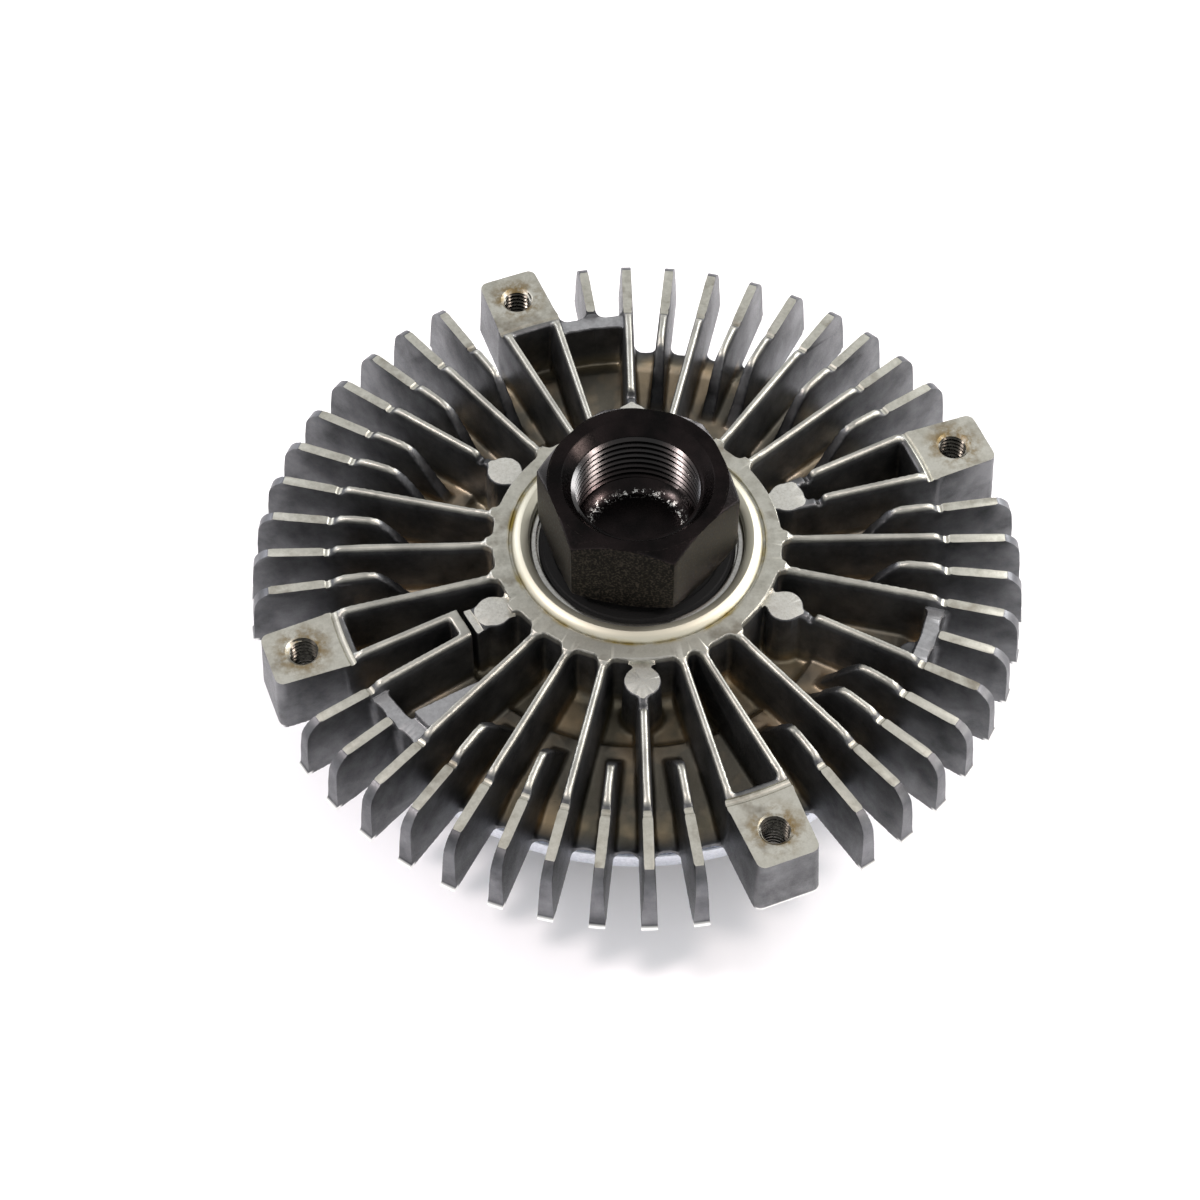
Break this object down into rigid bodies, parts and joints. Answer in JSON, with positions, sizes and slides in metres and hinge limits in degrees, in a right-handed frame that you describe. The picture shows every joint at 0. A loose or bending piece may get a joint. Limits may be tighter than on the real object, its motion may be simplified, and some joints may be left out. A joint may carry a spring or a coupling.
{
  "type": "viscous fan clutch",
  "caption": "Finned aluminium viscous fan clutch with a black hexagon hub nut, a sealed ball bearing and four tapped pads for the cooling fan.",
  "frame": {"origin": "on the spin axis, in the rest plane under the front cover's fins and collar", "axes": "+Z along the spin axis from the front cover towards the hexagon nut, +X to the picture's right, +Y away from the picture's viewer"},
  "size_m": [0.1446, 0.1446, 0.0573],
  "materials": {
    "cast_aluminium": "as cast, turned bright on the rim",
    "front_cover_aluminium": "as cast, turned on the flange",
    "black_oxide_steel": "black oxide, semi gloss",
    "bearing_steel": "ground, bright",
    "ball_steel": "polished steel",
    "cage_steel": "pressed sheet, satin",
    "black_rubber": "matt",
    "rotor_aluminium": "turned",
    "sheet_steel": "rolled, satin",
    "spring_steel": "rolled, satin",
    "bimetal_strip": "rolled, satin",
    "wiper_plastic": "moulded, matt"
  },
  "bodies": {
    "housing": {"rear_housing": "cast_aluminium", "front_cover": "front_cover_aluminium", "cover_seal_ring": "black_rubber", "valve_shaft_seal": "black_rubber", "bearing_outer_ring": "bearing_steel", "rear_bearing_seal": "black_rubber", "front_bearing_seal": "black_rubber", "separator_plate": "sheet_steel", "scavenge_wiper": "wiper_plastic", "bimetal_spiral": "bimetal_strip"},
    "hub": {"hub_shaft": "black_oxide_steel", "rotor_disc": "rotor_aluminium", "bearing_inner_ring": "bearing_steel"},
    "cage": {"bearing_cage": "cage_steel", "bearing_ball_1": "ball_steel", "bearing_ball_2": "ball_steel", "bearing_ball_3": "ball_steel", "bearing_ball_4": "ball_steel", "bearing_ball_5": "ball_steel", "bearing_ball_6": "ball_steel", "bearing_ball_7": "ball_steel", "bearing_ball_8": "ball_steel"},
    "valve": {"valve_shaft": "bearing_steel", "valve_arm": "spring_steel"}
  },
  "joints": [
    {"name": "hub_spin", "type": "hinge", "parent": "housing", "child": "hub", "pos_m": [0, 0, 0.0329], "axis": [0, 0, 1], "continuous": true},
    {"name": "cage_spin", "type": "hinge", "parent": "housing", "child": "cage", "pos_m": [0, 0, 0.0329], "axis": [0, 0, 1], "continuous": true},
    {"name": "valve_turn", "type": "hinge", "parent": "housing", "child": "valve", "pos_m": [0, 0, 0.0068], "axis": [0, 0, 1], "range_deg": [0, 40], "stiffness_Nm_per_rad": 0.02, "deforming": ["bimetal_spiral"]}
  ],
  "couplings": [
    {"joint": "cage_spin", "follows": "hub_spin", "ratio": 0.3816}
  ]
}
